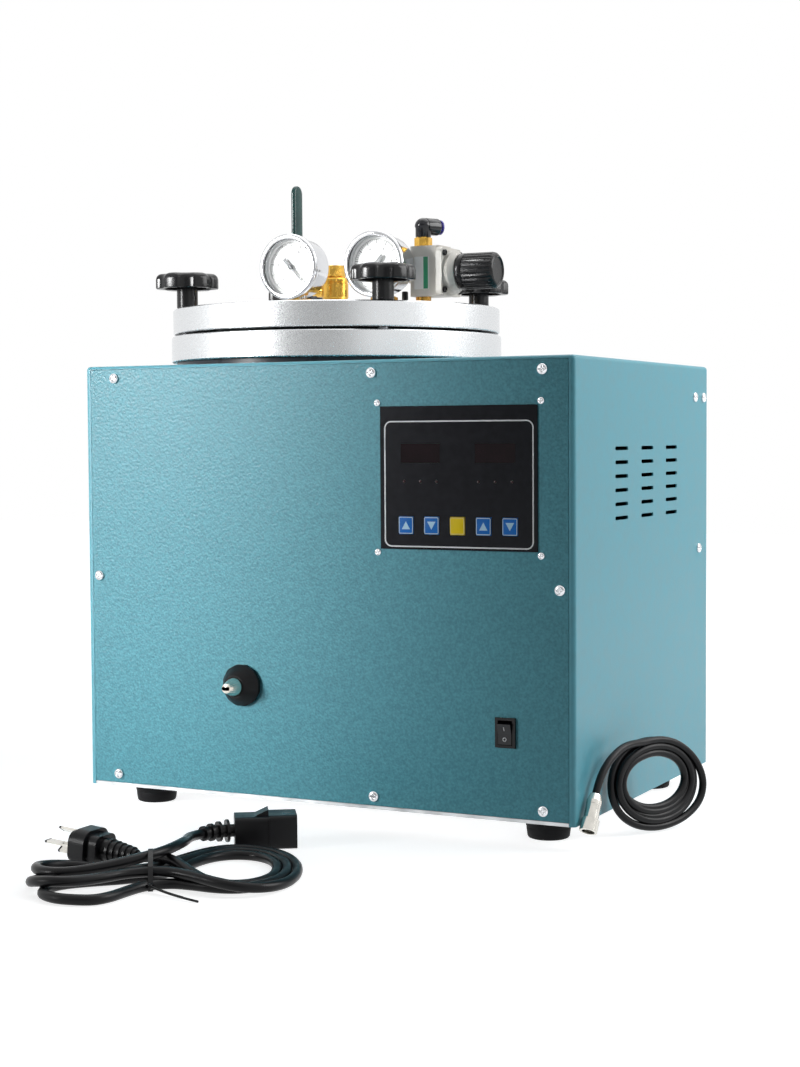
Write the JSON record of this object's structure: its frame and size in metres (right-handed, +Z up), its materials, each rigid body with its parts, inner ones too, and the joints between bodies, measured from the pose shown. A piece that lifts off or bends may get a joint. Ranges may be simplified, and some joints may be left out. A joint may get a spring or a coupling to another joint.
{
  "type": "jewelry wax injector",
  "caption": "Bench wax injector: painted cabinet with a heated pot under a clamped lid with gauges, vent valve and regulator, wax nozzle, keypad and mains switch",
  "frame": {"origin": "on the resting surface below the middle of the overall box of the machine, its free cords left out", "axes": "+Z up, -Y towards the operator (front panel), +X to the operator's right"},
  "size_m": [0.4657, 0.6059, 0.5005],
  "materials": {
    "paint": "hammertone paint",
    "tray": "zinc plated",
    "bright_screw": "chromed",
    "foot_rubber": "moulded rubber",
    "overlay": "satin black",
    "filter": "dark red filter",
    "board": "circuit board",
    "key_blue": "moulded",
    "key_yellow": "moulded",
    "black_plastic": "moulded",
    "grip": "heat-proof moulding",
    "brass": "machined",
    "tip_metal": "polished",
    "steel": "drawn",
    "solenoid": "moulded coil",
    "pot_metal": "turned",
    "ring_metal": "dark ring",
    "seal": "silicone",
    "core": "varnished",
    "nickel": "nickel plated",
    "chromed_case": "chromed",
    "dial": "white dial",
    "glass": "clear",
    "needle": "black",
    "sleeve": "dark green dipped vinyl",
    "black_metal": "blackened",
    "regulator_paint": "die-cast, painted",
    "ring_blue": "moulded",
    "cord": "pvc sheath",
    "knob_plastic": "bakelite"
  },
  "bodies": {
    "cabinet": {"cabinet_wrap": "paint", "front_panel": "paint", "rear_panel": "paint", "base_plate": "tray", "panel_screws": "bright_screw", "foot_screws": "bright_screw", "controller_screws": "bright_screw", "feet": "foot_rubber", "controller_overlay": "overlay", "display_windows": "filter", "control_board": "board", "rocker_bezel": "black_plastic", "nozzle_collar": "grip", "nozzle_body": "brass", "nozzle_tip": "tip_metal", "nozzle_heater": "steel", "wax_valve": "solenoid", "vacuum_valve": "solenoid", "wax_pot": "pot_metal", "pot_trim_ring": "ring_metal", "pot_gasket": "seal", "heater_band": "steel", "transformer": "core", "mains_inlet": "black_plastic", "pedal_socket": "nickel", "vacuum_port": "brass", "mains_hank": "cord", "mains_plug": "cord", "mains_connector": "cord", "signal_coil": "cord", "signal_lead": "cord", "aviation_plug": "nickel"},
    "lid": {"lid": "pot_metal", "vacuum_gauge_case": "chromed_case", "vacuum_gauge_dial": "dial", "vacuum_gauge_glass": "glass", "pressure_gauge_case": "chromed_case", "pressure_gauge_dial": "dial", "pressure_gauge_glass": "glass", "gauge_bushes": "brass", "vent_valve_body": "brass", "relief_valve": "black_metal", "regulator_body": "regulator_paint", "regulator_fittings": "brass"},
    "vacuum_needle": {"vacuum_gauge_needle": "needle"},
    "pressure_needle": {"pressure_gauge_needle": "needle"},
    "vent_lever": {"vent_lever": "sleeve"},
    "regulator_knob": {"regulator_knob": "black_plastic"},
    "push_elbow": {"push_elbow": "black_plastic"},
    "release_ring": {"release_ring": "ring_blue"},
    "rocker": {"rocker": "black_plastic"},
    "key_left_up": {"key_left_up": "key_blue"},
    "key_left_down": {"key_left_down": "key_blue"},
    "key_middle": {"key_middle": "key_yellow"},
    "key_right_up": {"key_right_up": "key_blue"},
    "key_right_down": {"key_right_down": "key_blue"},
    "clamp_knob_rear_right": {"clamp_knob_rear_right": "knob_plastic"},
    "clamp_knob_rear_left": {"clamp_knob_rear_left": "knob_plastic"},
    "clamp_knob_front_left": {"clamp_knob_front_left": "knob_plastic"},
    "clamp_knob_front_right": {"clamp_knob_front_right": "knob_plastic"}
  },
  "joints": [
    {"name": "lid_lift", "type": "slide", "parent": "cabinet", "child": "lid", "axis": [0, 0, 1], "range_m": [0, 0.08]},
    {"name": "rear_right_knob_turn", "type": "hinge", "parent": "lid", "child": "clamp_knob_rear_right", "pos_m": [0.02269, 0.09239, 0.3945], "axis": [0, 0, 1], "continuous": true},
    {"name": "rear_left_knob_turn", "type": "hinge", "parent": "lid", "child": "clamp_knob_rear_left", "pos_m": [-0.15409, 0.09239, 0.3945], "axis": [0, 0, 1], "continuous": true},
    {"name": "front_left_knob_turn", "type": "hinge", "parent": "lid", "child": "clamp_knob_front_left", "pos_m": [-0.15409, -0.08439, 0.3945], "axis": [0, 0, 1], "continuous": true},
    {"name": "front_right_knob_turn", "type": "hinge", "parent": "lid", "child": "clamp_knob_front_right", "pos_m": [0.02269, -0.08439, 0.3945], "axis": [0, 0, 1], "continuous": true},
    {"name": "vacuum_needle_turn", "type": "hinge", "parent": "lid", "child": "vacuum_needle", "pos_m": [-0.0843, -0.045, 0.428], "axis": [0, -1, 0], "range_deg": [0, 270], "stiffness_Nm_per_rad": 0.001},
    {"name": "pressure_needle_turn", "type": "hinge", "parent": "lid", "child": "pressure_needle", "pos_m": [-0.0121, -0.035, 0.428], "axis": [0, 1, 0], "range_deg": [0, 270], "stiffness_Nm_per_rad": 0.001},
    {"name": "vent_lever_turn", "type": "hinge", "parent": "lid", "child": "vent_lever", "pos_m": [-0.073, 0.015, 0.4135], "axis": [-1, 0, 0], "range_deg": [0, 90]},
    {"name": "regulator_knob_turn", "type": "hinge", "parent": "lid", "child": "regulator_knob", "pos_m": [0.0125, 0.007, 0.422], "axis": [1, 0, 0], "range_deg": [0, 1440]},
    {"name": "elbow_swivel", "type": "hinge", "parent": "lid", "child": "push_elbow", "pos_m": [0.0125, 0.007, 0.4511], "axis": [0, 0, 1], "continuous": true},
    {"name": "release_ring_push", "type": "slide", "parent": "push_elbow", "child": "release_ring", "axis": [-0.5, -0.866, 0], "range_m": [0, 0.0012], "stiffness_N_per_m": 400},
    {"name": "rocker_tip", "type": "hinge", "parent": "cabinet", "child": "rocker", "pos_m": [0.1523, -0.149, 0.0806], "axis": [-1, 0, 0], "range_deg": [0, 20]},
    {"name": "key_left_up_press", "type": "slide", "parent": "cabinet", "child": "key_left_up", "axis": [0, 1, 0], "range_m": [0, 0.0004], "stiffness_N_per_m": 300},
    {"name": "key_left_down_press", "type": "slide", "parent": "cabinet", "child": "key_left_down", "axis": [0, 1, 0], "range_m": [0, 0.0004], "stiffness_N_per_m": 300},
    {"name": "key_middle_press", "type": "slide", "parent": "cabinet", "child": "key_middle", "axis": [0, 1, 0], "range_m": [0, 0.0004], "stiffness_N_per_m": 300},
    {"name": "key_right_up_press", "type": "slide", "parent": "cabinet", "child": "key_right_up", "axis": [0, 1, 0], "range_m": [0, 0.0004], "stiffness_N_per_m": 300},
    {"name": "key_right_down_press", "type": "slide", "parent": "cabinet", "child": "key_right_down", "axis": [0, 1, 0], "range_m": [0, 0.0004], "stiffness_N_per_m": 300}
  ]
}
